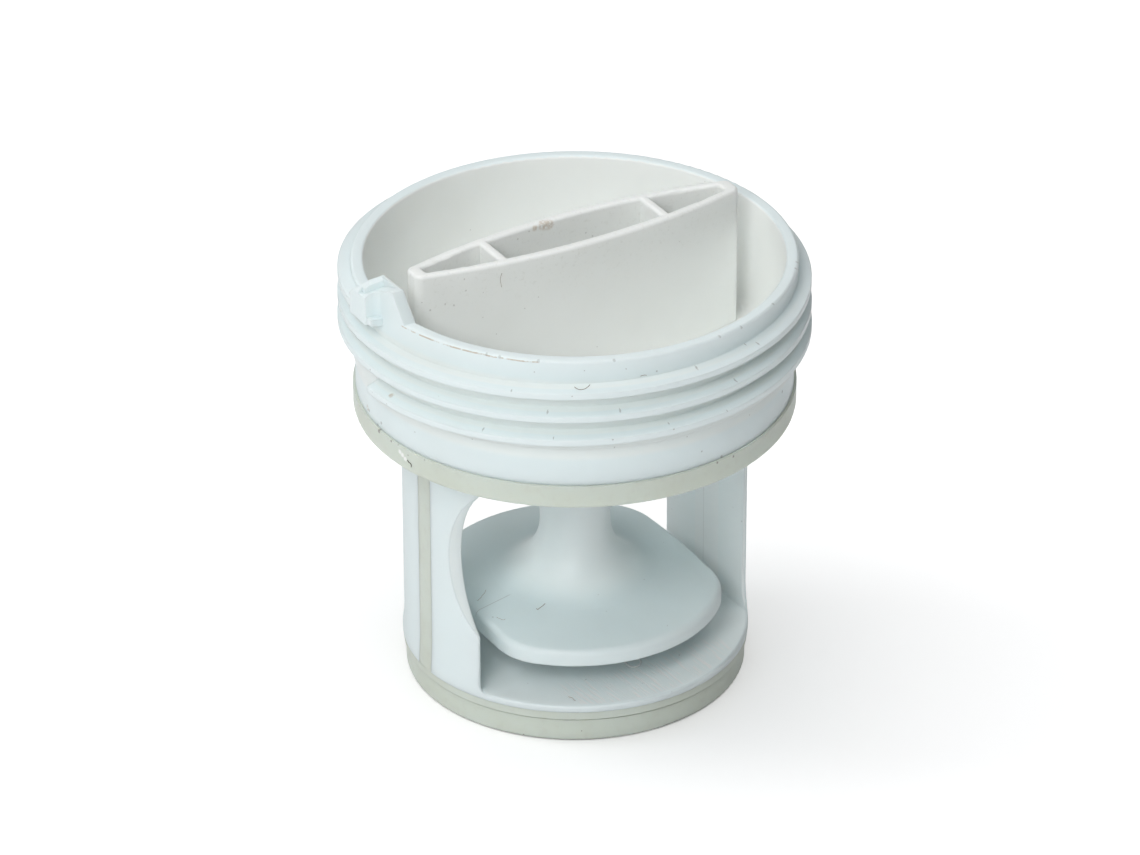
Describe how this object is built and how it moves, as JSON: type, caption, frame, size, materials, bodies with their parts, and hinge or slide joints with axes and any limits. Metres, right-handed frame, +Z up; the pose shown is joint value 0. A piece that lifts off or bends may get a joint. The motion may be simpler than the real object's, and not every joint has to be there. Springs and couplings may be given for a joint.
{
  "type": "washing machine drain filter",
  "caption": "White screw-in drain-pump filter: threaded cup cap with lens-shaped grip, windowed cage with hanging trumpet deflector, soft seals at collar and base.",
  "frame": {"origin": "on the thread's axis, at the plane on which the base seal stands", "axes": "+Z up along the thread's axis, from the base to the grip; X along the grip, with the rim's tab at -X; the two windows face -Y and +Y"},
  "size_m": [0.07, 0.0699, 0.0725],
  "materials": {
    "filter_body": "satin white polypropylene, lightly used",
    "seal": "translucent beige thermoplastic elastomer, slightly yellowed"
  },
  "bodies": {
    "root": {"filter_body": "filter_body", "seal": "seal"}
  },
  "joints": []
}
